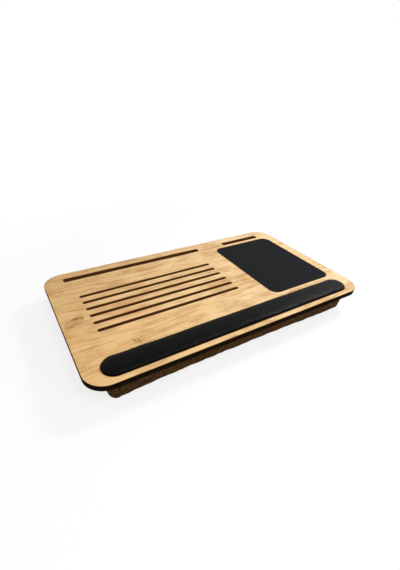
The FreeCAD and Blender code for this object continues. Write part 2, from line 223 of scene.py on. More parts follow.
class Signal:
    """One output of a node. Python's operators on it add Math nodes."""

    def __init__(self, finish, socket):
        self.finish = finish
        self.socket = socket

    def math(self, operation, *values):
        numbered = dict(enumerate(values))
        return self.finish.add("ShaderNodeMath", {"operation": operation}, numbered)

    __add__, __radd__ = operator("ADD"), operator("ADD", swapped=True)
    __sub__, __rsub__ = operator("SUBTRACT"), operator("SUBTRACT", swapped=True)
    __mul__, __rmul__ = operator("MULTIPLY"), operator("MULTIPLY", swapped=True)
    __pow__, __rpow__ = operator("POWER"), operator("POWER", swapped=True)
    __truediv__ = operator("DIVIDE")

    def __neg__(self):
        return self.math("MULTIPLY", self, -1.0)

    def __abs__(self):
        return self.math("ABSOLUTE", self)

    def output(self, name):
        """Another output of the same node."""
        return Signal(self.finish, self.socket.node.outputs[name])

    def between(self, low, high):
        """Rises smoothly from 0 at low to 1 at high."""
        edges = {"Value": self, "From Min": low, "From Max": high}
        return self.finish.add("ShaderNodeMapRange", {"interpolation_type": "SMOOTHSTEP"}, edges)


class Nodes:
    """A node tree, and one way to add to it."""

    def __init__(self, tree):
        self.tree = tree

    def add(self, kind, chosen, sockets, output=0):
        """Adds a node: what is chosen on it first, then the values or links of its sockets."""
        node = self.tree.nodes.new(kind)
        for name, value in chosen.items():
            setattr(node, name, value)
        for name, value in sockets.items():
            self.feed(node.inputs[name], value)
        return Signal(self, node.outputs[output])

    def feed(self, socket, value):
        if isinstance(value, Signal):
            self.tree.links.new(value.socket, socket)
        elif socket.type == "VECTOR":
            socket.default_value = value[:3]
        else:
            socket.default_value = value

    def seen(self):
        """1 for what the camera sees straight on, in a gloss or through glass."""
        rays = self.add("ShaderNodeLightPath", {}, {}, "Is Camera Ray")
        seen = rays + rays.output("Is Glossy Ray") + rays.output("Is Transmission Ray")
        return seen.math("MINIMUM", seen, 1.0)


class Finish(Nodes):
    """A material and its nodes. Constants are values of the shader's own sockets."""

    def __init__(self, name, constants):
        self.material = bpy.data.materials.new(name)
        self.material.use_nodes = True
        super().__init__(self.material.node_tree)
        self.tree.nodes.clear()
        self.shader = self.tree.nodes.new("ShaderNodeBsdfPrincipled")
        self.result = self.tree.nodes.new("ShaderNodeOutputMaterial")
        self.tree.links.new(self.shader.outputs["BSDF"], self.result.inputs["Surface"])
        for socket, value in constants.items():
            self.shader.inputs[socket].default_value = value

    def shade(self, **sockets):
        """Links or sets the shader's sockets, named with underscores for spaces."""
        for name, value in sockets.items():
            self.feed(self.shader.inputs[name.replace("_", " ")], value)
        return self.material

    def here(self):
        return self.add("ShaderNodeTexCoord", {}, {}, "Object")

    def parts(self, vector):
        split = self.add("ShaderNodeSeparateXYZ", {}, {"Vector": vector})
        return split, split.output("Y"), split.output("Z")

    def join(self, x, y, z):
        return self.add("ShaderNodeCombineXYZ", {}, {"X": x, "Y": y, "Z": z})

    def noise(self, vector, cell, detail=2.0, roughness=0.5):
        """Noise from 0 to 1. Its cells have one size in metres, or three along the axes."""
        scale = [1 / length for length in np.broadcast_to(cell, 3)]
        scaled = self.add("ShaderNodeMapping", {}, {"Vector": vector, "Scale": scale})
        sockets = {"Vector": scaled, "Scale": 1.0, "Detail": detail, "Roughness": roughness}
        return self.add("ShaderNodeTexNoise", {}, sockets)

    def cells(self, vector, width):
        sockets = {"Vector": vector, "Scale": 1 / width}
        return self.add("ShaderNodeTexVoronoi", {"feature": "F1"}, sockets, "Distance")

    def mix(self, factor, first, second):
        """Colour from first to second as factor goes from 0 to 1."""
        sockets = {0: factor, 6: first, 7: second}
        return self.add("ShaderNodeMix", {"data_type": "RGBA"}, sockets, 2)

    def scaled(self, tint, factor):
        """A colour made lighter or darker."""
        return self.add("ShaderNodeVectorMath", {"operation": "SCALE"}, {0: tint, "Scale": factor})

    def bump(self, height, depth):
        """A normal from a height of 0 to 1 that stands for the depth."""
        sockets = {"Height": height, "Distance": depth, "Strength": 1.0}
        return self.add("ShaderNodeBump", {}, sockets)

    def surface(self, tint, lightness, roughness, height, depth):
        """The usual finish: a tint that grows lighter and darker, a roughness and a relief."""
        return self.shade(
            Base_Color=self.scaled(tint, lightness), Roughness=roughness,
            Normal=self.bump(height, depth),
        )


def oak(name, knotted):
    """Satin oak board with a charred rim where the burn attribute says so."""
    board = settings("board")
    finish = Finish(name, {"Specular IOR Level": 0.02})
    here = finish.here()
    x, y, _ = finish.parts(here)
    slow = finish.noise(here, (0.24, 0.07, 0.5), 1.0)
    drift = finish.noise(here, (0.09, 0.03, 0.5), 1.0)
    line = y / board.grain_width + slow * 7.0 + drift * 1.6
    eyes = [eye(finish, x, y, knot) for knot in knots(board, knotted)]
    for away, push, ring, heart in eyes:
        line = line + push * math.e ** -(away * 0.3)
    along_grain = x / board.grain_length
    rings = finish.noise(finish.join(along_grain, line, 0.0), 1.0, 3.0, 0.6)
    late = rings.between(0.40, 0.66)
    fine_line = finish.noise(finish.join(x / 0.07, line * 4.5, 0.0), 1.0, 1.0).between(0.35, 0.7)
    fibre = finish.noise(here, (0.026, 0.0007, 0.5), 2.0, 0.6)
    cloud = finish.noise(here, (0.07, 0.045, 0.5), 2.0)
    pores = finish.noise(here, (0.005, 0.0004, 0.5), 1.0).between(0.60, 0.72)
    blotch = finish.noise(here, (0.030, 0.014, 0.5), 2.0, 0.6)
    uneven = (fibre - 0.5) * 1.1 + (cloud - 0.5) * 1.5 + (blotch - 0.5) * 1.1
    shade = late * 0.46 + fine_line * 0.32 + uneven
    # Painted light: the early wood is blended to a paler tone towards the right end
    painted_light_right = (x + cloud * 0.15).between(-0.30, 0.42)
    early = finish.mix(painted_light_right, board.oak_light, board.painted_light_oak_right)
    wood = finish.mix(shade, early, board.oak_dark)
    for away, push, ring, heart in eyes:
        outline = math.e ** -((away - 1.0) ** 2.0 * 5.0)
        tint = outline * ring + math.e ** -(away * 1.6) * heart
        wood = finish.mix(tint * (0.6 + blotch * 0.8), wood, board.knot_tone)
    fleck = finish.noise(here, (0.0075, 0.0028, 0.5), 1.0).between(0.76, 0.80)
    # Painted shade: the wood is made darker towards the rear left
    painted_shade_rear_left = (y * 1.2 - x).between(0.10, 0.50)
    wood = finish.scaled(wood, 1.03 - pores * 0.10 - fleck * 0.22 - painted_shade_rear_left * 0.10)
    burn = finish.add("ShaderNodeAttribute", {"attribute_name": "burn"}, {}, "Fac")
    ragged = burn + (finish.noise(here, 0.004, 2.0) - 0.5) * 0.35 * (1.0 - burn)
    wood = finish.mix(ragged.between(0.05, 0.9) * 0.75, wood, board.toast_tone)
    char = ragged.between(0.55, 0.95)
    soot = finish.noise(here, (0.009, 0.009, 0.0012), 3.0)
    # Painted light and shade: the char is lighter inside the cut-outs and darker round the board's
    # edge
    cut = finish.mix(burn.between(1.1, 1.9), board.painted_light_char_slot, board.painted_shade_char_edge)
    charred = finish.scaled(cut, 0.55 + soot * 0.9)
    height = fibre * 0.6 + (1.0 - pores) * 0.4
    return finish.shade(
        Base_Color=finish.mix(char, wood, charred),
        Roughness=0.50 + late * 0.08 + char * 0.30,
        Normal=finish.bump(height, 0.00006),
    )


def eye(finish, x, y, knot):
    """Squared distance from a knot's middle, with 1 on its outline, then how it shows."""
    left, across, half_length, half_width, turn, *shows = knot
    along, over = x - left, y - across
    first = (along * math.cos(turn) + over * math.sin(turn)) / half_length
    second = (over * math.cos(turn) - along * math.sin(turn)) / half_width
    return first * first + second * second, *shows


# Each mark's place in millimetres from the large knot, its length, width and turn as shares of the
# knot's, how far it pushes the grain aside, and how dark its ring and its heart are
MARKS = (
    (0, 0, 1.0, 1.0, 1.0, 1.6, 0.34, 0.20),
    (5, 8, 0.48, 0.36, 0.3, 0.3, 0.10, 1.3),
    (14, 6, 0.20, 0.35, -1.0, 0.2, 0.0, 0.9),
    (-6, -7, 0.60, 0.45, 1.0, 0.4, 0.15, 0.55),
    (73, -93, 0.12, 0.70, 0.395, 0.2, 0.2, 1.0),
    (79, -95, 0.12, 0.70, 0.198, 0.2, 0.2, 0.9),
    (455, 98, 0.5, 0.6, 0.593, 1.2, 0.3, 0.4),
)


def knots(board, knotted):
    """The large knot and the smaller marks that are placed from it, if the face shows them."""
    return [
        (
            board.knot_x + right * MM, board.knot_y + back * MM, board.knot_length * length,
            board.knot_width * width, board.knot_turn * turn, *shows,
        )
        for right, back, length, width, turn, *shows in (MARKS if knotted else ())
    ]


def pad_cloth():
    """Smooth knitted cloth of the mouse pad."""
    pad = settings("mouse_pad")
    finish = Finish("mouse_pad_cloth", {"Specular IOR Level": 0.03})
    here = finish.here()
    x, y, _ = finish.parts(here)
    rate = math.pi / pad.weave
    threads = weave(x * rate, y * rate)
    speck = finish.noise(here, 0.0012, 2.0)
    cloud = finish.noise(here, 0.05, 2.0)
    shade = 0.68 + speck * 0.34 + cloud * 0.14 + threads * 0.18
    return finish.surface(pad.cloth_tone, shade, 0.82, threads, 0.00008)


def weave(across, along):
    """Plain weave from 0 to 1, from the phase across and the phase along."""
    over = across.math("SINE", across)
    under = along.math("SINE", along)
    return abs(over) * 0.5 + abs(under) * 0.5


def leatherette():
    """Black leatherette with a pebbled grain and fine creases."""
    rest = settings("wrist_rest")
    finish = Finish("leatherette", {"Specular IOR Level": 0.045})
    here = finish.here()
    bend = finish.noise(here, 0.004, 1.0)
    x, y, z = finish.parts(here)
    wander = (bend - 0.5) * 0.0012
    moved = finish.join(x + wander, y + wander, z + wander)
    pebbles = finish.cells(moved, rest.grain).between(0.0, 0.75)
    crease = finish.noise(here, (0.0022, 0.0030, 0.0022), 2.0, 0.6)
    fine = finish.noise(here, 0.0005, 2.0)
    cloud = finish.noise(here, (0.03, 0.015, 0.03), 2.0)
    height = (1.0 - pebbles) * 0.5 + crease * 0.4 + fine * 0.1
    lightness = 0.7 + cloud * 0.5 + fine * 0.15
    roughness = 0.20 + pebbles * 0.08 + cloud * 0.05
    return finish.surface(rest.leather_tone, lightness, roughness, height, 0.0003)


def cushion_cloth():
    """Dark brown cloth woven from light and dark yarns."""
    cushion = settings("cushion")
    sheen = {"Sheen Weight": 0.12, "Sheen Roughness": 0.45, "Sheen Tint": tone(150, 108, 62)}
    finish = Finish("cushion_cloth", {"Specular IOR Level": 0.03, **sheen})
    uv = finish.add("ShaderNodeUVMap", {"uv_map": "Cloth"}, {})
    u, v, _ = finish.parts(uv)
    rate = math.pi / cushion.yarn
    wobble = finish.noise(uv, (0.006, 0.006, 1.0), 2.0)
    threads = weave(u * rate + wobble * 1.6, v * rate + wobble * 1.6)
    dash = 5.0 * cushion.yarn
    warp = finish.noise(uv, (cushion.yarn * 0.9, dash, 1.0), 1.0)
    weft = finish.noise(uv, (dash, cushion.yarn * 0.9, 1.0), 1.0)
    patch = finish.noise(uv, (0.0055, 0.0085, 1.0), 2.0, 0.6)
    cloud = finish.noise(uv, (0.07, 0.05, 1.0), 2.0)
    lie = (warp * 0.55 + weft * 0.45 + patch * 0.55 + cloud * 0.25 - 0.40).between(0.28, 0.68)
    cloth = finish.mix(lie, cushion.cloth_shade, cushion.cloth_tone)
    height = threads * 0.6 + warp * 0.4
    return finish.surface(cloth, 0.62 + threads * 0.62, 0.92, height, 0.0005)


def foam():
    """Open-cell foam."""
    cushion = settings("cushion")
    finish = Finish("foam", {"Specular IOR Level": 0.1})
    here = finish.here()
    pores = finish.cells(here, 1.1 * MM).between(0.1, 0.6)
    cloud = finish.noise(here, 0.03, 2.0)
    return finish.surface(cushion.foam_tone, 0.70 + pores * 0.25 + cloud * 0.1, 0.95, pores, 0.0003)


def tape(name, tint, rib):
    """Tape in a slanting weave."""
    finish = Finish(name, {"Specular IOR Level": 0.05, "Sheen Weight": 0.1})
    here = finish.here()
    x, _, z = finish.parts(here)
    rate = math.pi / rib
    threads = weave((x + z) * rate, (x - z) * rate)
    speck = finish.noise(here, 0.001, 2.0)
    return finish.surface(tint, 0.50 + threads * 0.55 + speck * 0.3, 0.85, threads, 0.00025)


def plain(name, tint, roughness, grain, depth, specular=0.2, contrast=0.3, spread=0.12):
    """Moulded or spun stuff with a fine unevenness."""
    finish = Finish(name, {"Specular IOR Level": specular})
    speck = finish.noise(finish.here(), grain, 3.0)
    lightness = 1 - contrast / 2 + speck * contrast
    return finish.surface(tint, lightness, roughness + speck * spread, speck, depth)


def bronze():
    """Dark plated metal, worn brighter in places."""
    finish = Finish("zip_bronze", {"Metallic": 1.0})
    here = finish.here()
    wear = finish.noise(here, 0.002, 3.0)
    brushed = finish.noise(here, (0.006, 0.0003, 0.0003), 2.0)
    metal, roughness = settings("zip").metal_tone, 0.32 + brushed * 0.2
    return finish.surface(metal, 0.8 + wear * 0.7, roughness, brushed, 0.00003)


# Shapes


class Outline:
    """A rounded rectangle seen from above: its sides and its corner radius."""

    def __init__(self, points):
        low, high = points.min(axis=0), points.max(axis=0)
        on_right = points[np.abs(points[:, 0] - high[0]) < 10 * SAME, 1]
        self.left, self.front = low
        self.right, self.rear = high
        self.radius = (self.rear - self.front - (on_right.max() - on_right.min())) / 2

    def grown(self, growth):
        """The outline's points moved outwards, anticlockwise from the rear of the right side."""
        radius = self.radius + growth
        turns = np.radians(np.linspace(0, 90, CORNER_STEPS + 1))
        corners = (
            (self.right - self.radius, self.rear - self.radius, 0),
            (self.left + self.radius, self.rear - self.radius, 90),
            (self.left + self.radius, self.front + self.radius, 180),
            (self.right - self.radius, self.front + self.radius, 270),
        )
        points = []
        for x, y, start in corners:
            around = turns + math.radians(start)
            arc = np.stack([x + radius * np.cos(around), y + radius * np.sin(around)], axis=1)
            half_round = points and np.linalg.norm(points[-1] - arc[0]) < SAME
            points.extend(arc[1:] if half_round else arc)
        if np.linalg.norm(points[-1] - points[0]) < SAME:
            points.pop()
        return np.array(points)


def cad_shape(node):
    """A CAD node's mesh, ready to edit, with its doubled points merged."""
    mesh = bmesh.new()
    mesh.from_mesh(frame["nodes"][node].data)
    bmesh.ops.remove_doubles(mesh, verts=mesh.verts, dist=SAME)
    return mesh


def outlines(node, height):
    """The outlines of a CAD node's flat face at a height, the longest first."""
    mesh = cad_shape(node)
    flat = [f for f in mesh.faces if all(abs(v.co.z - height) < SAME for v in f.verts)]
    level = set(flat)
    follows = {}
    for face in flat:
        for loop in face.loops:
            if not any(other in level for other in loop.edge.link_faces if other != face):
                follows[loop.vert] = loop.link_loop_next.vert
    found = []
    while follows:
        vert = next(iter(follows))
        points = []
        while vert in follows:
            points.append(vert.co.xy[:])
            vert = follows.pop(vert)
        found.append(Outline(np.array(points)))
    mesh.free()
    return sorted(found, key=lambda outline: outline.left - outline.right)


def rim(top, bottom, softness, fade, char_share=0.6):
    """Rings from the upper face over a burnt edge to the lower face.

    Each is its distance into the material, its height and how burnt it is.
    """
    char = char_share * fade
    toasted, scorched, charred = 0.35, 0.8, 1.0
    shoulder = 1.8 * softness
    upper = [(fade, top, 0.0), ((char + fade) / 2, top, toasted), (char, top, scorched)]
    for degrees in (90, 60, 30, 0):
        turn = math.radians(degrees)
        inwards, down = softness * (1 - math.cos(turn)), softness * (1 - math.sin(turn))
        upper.append((inwards, top - down, charred))
    upper.append((0.0, top - shoulder, charred))
    lower = [(inwards, bottom + top - height, burn) for inwards, height, burn in reversed(upper)]
    return upper + lower


def slab(name, shapes, edge, cut):
    """A flat board or sheet with softened edges.

    The first shape is its outer edge, with the rings in edge. The rest are holes, with the rings
    in cut.
    """
    # The oak's colours tell the board's own edge, which gets the darker char of painted shade, by
    # this burn from the cut-outs' 1
    own_edge = 2.0
    points, faces, burns = [], [], []
    top_loops, bottom_loops = [], []
    for index, shape in enumerate(shapes):
        rings = []
        for inwards, height, burn in cut if index else edge:
            flat = shape.grown(inwards if index else -inwards)
            rings.append(range(len(points), len(points) + len(flat)))
            points.extend((x, y, height) for x, y in flat)
            burns.extend([burn if index or burn < 1 else own_edge] * len(flat))
        faces.extend(ring_faces(rings))
        top_loops.append(rings[0])
        bottom_loops.append(rings[-1])
    for loops in (top_loops, bottom_loops):
        faces.extend(flat_faces(points, loops))
    piece = mesh_piece(name, points, faces)
    burn_layer = piece.data.attributes.new("burn", "FLOAT", "POINT")
    burn_layer.data.foreach_set("value", burns)
    return clean(piece)


def ring_faces(rings):
    """Quads between each closed ring of points and the next."""
    faces = []
    for upper, lower in zip(rings, rings[1:]):
        count = len(upper)
        for k in range(count):
            after = (k + 1) % count
            faces.append((upper[k], upper[after], lower[after], lower[k]))
    return faces


def flat_faces(points, loops):
    """Triangles between an outer loop and the loops of its holes."""
    order = [index for loop in loops for index in loop]
    flat = [[Vector((*points[index][:2], 0)) / MM for index in loop] for loop in loops]
    return [tuple(order[k] for k in face) for face in geometry.tessellate_polygon(flat)]


def placed(name, data):
    """An object of this data in the scene."""
    piece = bpy.data.objects.new(name, data)
    bpy.context.scene.collection.objects.link(piece)
    return piece


def mesh_piece(name, points, faces, edges=()):
    mesh = bpy.data.meshes.new(name)
    mesh.from_pydata([tuple(p) for p in points], edges, faces)
    return placed(name, mesh)


def edited_piece(name, edited):
    """An object of a mesh that was edited, which is given up."""
    mesh = bpy.data.meshes.new(name)
    edited.to_mesh(mesh)
    edited.free()
    return placed(name, mesh)


def clean(piece, sharp=40):
    """Turns a closed mesh's faces outwards and shades it smooth up to an angle."""
    mesh = bmesh.new()
    mesh.from_mesh(piece.data)
    bmesh.ops.recalc_face_normals(mesh, faces=mesh.faces)
    if mesh.calc_volume(signed=True) < 0:
        bmesh.ops.reverse_faces(mesh, faces=mesh.faces)
    mesh.to_mesh(piece.data)
    mesh.free()
    shade_smooth(piece, sharp)
    return piece


def shade_smooth(piece, sharp):
    piece.data.polygons.foreach_set("use_smooth", [True] * len(piece.data.polygons))
    piece.data.set_sharp_from_angle(angle=math.radians(sharp))


def dress(piece, material, body, slot, *nodes):
    """Gives a piece its material and its CAD body, and hides the CAD nodes that it stands for. The
    slot is not used.
    """
    piece.data.materials.clear()
    piece.data.materials.append(material)
    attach(piece, body)
    if nodes:
        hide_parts(*nodes)
    return piece


def softened(node, name, softness):
    """A copy of a CAD node's shape with its edges softened."""
    flat_angle, sharp_angle = 2, 35
    mesh = cad_shape(node)
    bmesh.ops.dissolve_limit(
        mesh, angle_limit=math.radians(flat_angle), verts=mesh.verts, edges=mesh.edges
    )
    shared = [e for e in mesh.edges if len(e.link_faces) == 2]
    sharp = [e for e in shared if e.calc_face_angle() > math.radians(sharp_angle)]
    bmesh.ops.bevel(
        mesh, geom=sharp, offset=softness, segments=3, profile=0.5, affect="EDGES",
        clamp_overlap=True,
    )
    piece = edited_piece(name, mesh)
    shade_smooth(piece, sharp_angle)
    return piece


def applied(piece):
    """Turns a piece's live modifiers into plain mesh."""
    graph = bpy.context.evaluated_depsgraph_get()
    mesh = bpy.data.meshes.new_from_object(piece.evaluated_get(graph), depsgraph=graph)
    piece.modifiers.clear()
    piece.data = mesh
    return piece


def thickened(piece, thickness, sharp):
    """Gives a sheet its thickness on the inner side."""
    wall = piece.modifiers.new("Thickness", "SOLIDIFY")
    wall.thickness = thickness
    wall.offset = -1
    applied(piece)
    shade_smooth(piece, sharp)


def coordinates(mesh):
    flat = np.empty(len(mesh.vertices) * 3, np.float32)
    mesh.vertices.foreach_get("co", flat)
    return flat.reshape(-1, 3).astype(float)


def set_coordinates(mesh, points):
    mesh.vertices.foreach_set("co", np.asarray(points, np.float32).ravel())
    mesh.update()


def normals(mesh):
    return np.array([v.normal[:] for v in mesh.vertices])


# A stiff, light cover in a room without gravity, on which only the filling presses
CLOTH = {
    "quality": 6, "mass": 0.25, "tension_stiffness": 12, "compression_stiffness": 12,
    "shear_stiffness": 6, "bending_stiffness": 0.6, "vertex_group_mass": "held",
    "use_pressure": True, "shrink_min": -0.01,
}
SWELL_FRAMES = 20


def swell(piece, held, pressure, limit):
    """Presses a piece's cloth out by its filling.

    Points that are held stay, and none moves past the limit.
    """
    before = coordinates(piece.data)
    group = piece.vertex_groups.new(name="held")
    group.add([int(k) for k in held], 1.0, "REPLACE")
    cloth = piece.modifiers.new("Swell", "CLOTH")
    for name, value in CLOTH.items():
        setattr(cloth.settings, name, value)
    cloth.settings.uniform_pressure_force = pressure
    cloth.settings.effector_weights.gravity = 0
    cloth.collision_settings.use_collision = False
    for number in range(1, SWELL_FRAMES + 1):
        bpy.context.scene.frame_set(number)
    graph = bpy.context.evaluated_depsgraph_get()
    move = coordinates(piece.evaluated_get(graph).data) - before
    piece.modifiers.clear()
    piece.vertex_groups.clear()
    bpy.context.scene.frame_set(1)
    distance = np.linalg.norm(move, axis=1, keepdims=True)
    share = np.minimum(1.0, limit / np.maximum(distance, SAME))
    set_coordinates(piece.data, before + move * share)


# Board


class LAPDESK_OT_board(bpy.types.Operator):
    """Builds the two oak-faced panels with their burnt edges"""

    bl_idname = "lapdesk.board"
    bl_label = "Board panels"

    def execute(self, context):
        board = settings("board")
        panels = (
            ("top_panel", "oak_top_panel", "oak_panel", True),
            ("base_panel", "oak_base_panel", "base_board", False),
        )
        for node, name, slot, knotted in panels:
            low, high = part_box(node)
            edge, cut = (
                rim(high.z, low.z, board.edge_softness, burn)
                for burn in (board.edge_burn, board.cut_burn)
            )
            panel = slab(name, outlines(node, high.z), edge, cut)
            dress(panel, oak(name, knotted), "desk", slot, node)
        return {"FINISHED"}


# Mouse pad


class LAPDESK_OT_mouse_pad(bpy.types.Operator):
    """Builds the mouse pad's cloth and rubber"""

    bl_idname = "lapdesk.mouse_pad"
    bl_label = "Mouse pad"

    def execute(self, context):
        pad = settings("mouse_pad")
        rubber = plain(
            "mouse_pad_rubber", pad.rubber_tone, 0.7, 0.0008, 0.00005,
            specular=0.3, contrast=0.4, spread=0.15,
        )
        layers = (
            ("mouse_pad_surface", "mouse_pad_cloth", pad_cloth(), "pad_sheet", 0.45),
            ("mouse_pad_base", "mouse_pad_rubber", rubber, "pad_rubber", 0.2),
        )
        for node, name, material, slot, share in layers:
            low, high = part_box(node)
            softness = min(pad.edge_rounding, (high.z - low.z) * share)
            edge = rim(high.z, low.z, softness, 4 * softness, char_share=0.5)
            layer = slab(name, outlines(node, high.z), edge, edge)
            dress(layer, material, "desk", slot, node)
        return {"FINISHED"}


# Wrist rest

SIDE_STEPS = 4
CROWN_STEPS = 9


def rest_mesh(name, inset):
    """The wrist rest's crowned form, open underneath, and how many points a ring of it has."""
    rest = settings("wrist_rest")
    low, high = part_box("wrist_rest_cover")
    board_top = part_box("top_panel")[1].z
    middle = (low.y + high.y) / 2
    half_width = (high.y - low.y) / 2 - inset
    reach = high.x - inset - half_width
    side_top = board_top + rest.side_height
    crown = high.z - inset
    ridge_share = 0.02
    levels = [(1.0, height) for height in np.linspace(low.z, side_top, SIDE_STEPS + 1)]
    for step in range(1, CROWN_STEPS + 1):
        turn = math.pi / 2 * step / CROWN_STEPS
        share = math.sqrt(max(math.cos(turn), 0.0)) if step < CROWN_STEPS else ridge_share
        levels.append((share, side_top + (crown - side_top) * math.sin(turn)))
    straight_steps, round_steps = 110, 24
    turn = np.linspace(-math.pi / 2, math.pi / 2, round_steps + 1)
    across = np.linspace(reach, -reach, straight_steps + 1)[1:-1]
    rings, points = [], []
    for share, height in levels:
        radius = half_width * share
        right = np.stack([reach + radius * np.cos(turn), radius * np.sin(turn)], axis=1)
        rear = np.stack([across, np.full(len(across), radius)], axis=1)
        half = np.concatenate([right, rear])
        ring = np.concatenate([half, -half])
        rings.append(range(len(points), len(points) + len(ring)))
        points.extend((x, middle + y, height) for x, y in ring)
    faces = [face[::-1] for face in ring_faces(rings)]
    last = rings[-1]
    count = len(last)
    start = round_steps // 2
    for k in range(count // 2):
        a, b = last[(start + k) % count], last[(start + k + 1) % count]
        c, d = last[(start - k - 1) % count], last[(start - k) % count]
        faces.append(tuple(dict.fromkeys((a, b, c, d))))
    return mesh_piece(name, points, faces), count


class LAPDESK_OT_wrist_rest(bpy.types.Operator):
    """Builds the padded wrist rest: its leatherette, its padding and the strip that they wrap"""

    bl_idname = "lapdesk.wrist_rest"
    bl_label = "Wrist rest"

    def execute(self, context):
        rest = settings("wrist_rest")
        cover, ring = rest_mesh("wrist_rest_leather", 0.0)
        rings_held = SIDE_STEPS + 2
        swell(cover, range(ring * rings_held), rest.pressure, rest.swell_limit)
        clean(cover)
        thickened(cover, rest.skin, 50)
        dress(cover, leatherette(), "desk", "rest_leather", "wrist_rest_cover")
        padding, ring = rest_mesh("wrist_rest_padding", 2 * rest.skin)
        close_underneath(padding, ring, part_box("wrist_rest_foam")[0].z)
        clean(padding, 50)
        dress(padding, foam(), "desk", "foam", "wrist_rest_foam")
        backer = softened("wrist_rest_backer", "wrist_rest_strip", 0.3 * MM)
        stiff = plain("backer_board", tone(70, 62, 52), 0.7, 0.002, 0.00008)
        dress(backer, stiff, "desk", "backer_board", "wrist_rest_backer")
        return {"FINISHED"}


def close_underneath(piece, ring, floor):
    """Lifts an open form's lowest ring to a height and closes it with a flat face."""
    mesh = bmesh.new()
    mesh.from_mesh(piece.data)
    mesh.verts.ensure_lookup_table()
    for vert in mesh.verts:
        vert.co.z = max(vert.co.z, floor)
    mesh.faces.new(mesh.verts[:ring])
    bmesh.ops.remove_doubles(mesh, verts=mesh.verts, dist=SAME)
    mesh.to_mesh(piece.data)
    mesh.free()


# Cushion


def smooth_step(share):
    share = np.clip(share, 0, 1)
    return share * share * (3 - 2 * share)


def spaced(path, count):
    """A path again, as evenly spaced points with both ends."""
    steps = np.linalg.norm(np.diff(path, axis=0), axis=1)
    along = np.concatenate(([0], np.cumsum(steps)))
    at = np.linspace(0, along[-1], count + 1)
    return np.stack([np.interp(at, along, path[:, axis]) for axis in range(path.shape[1])], axis=1)


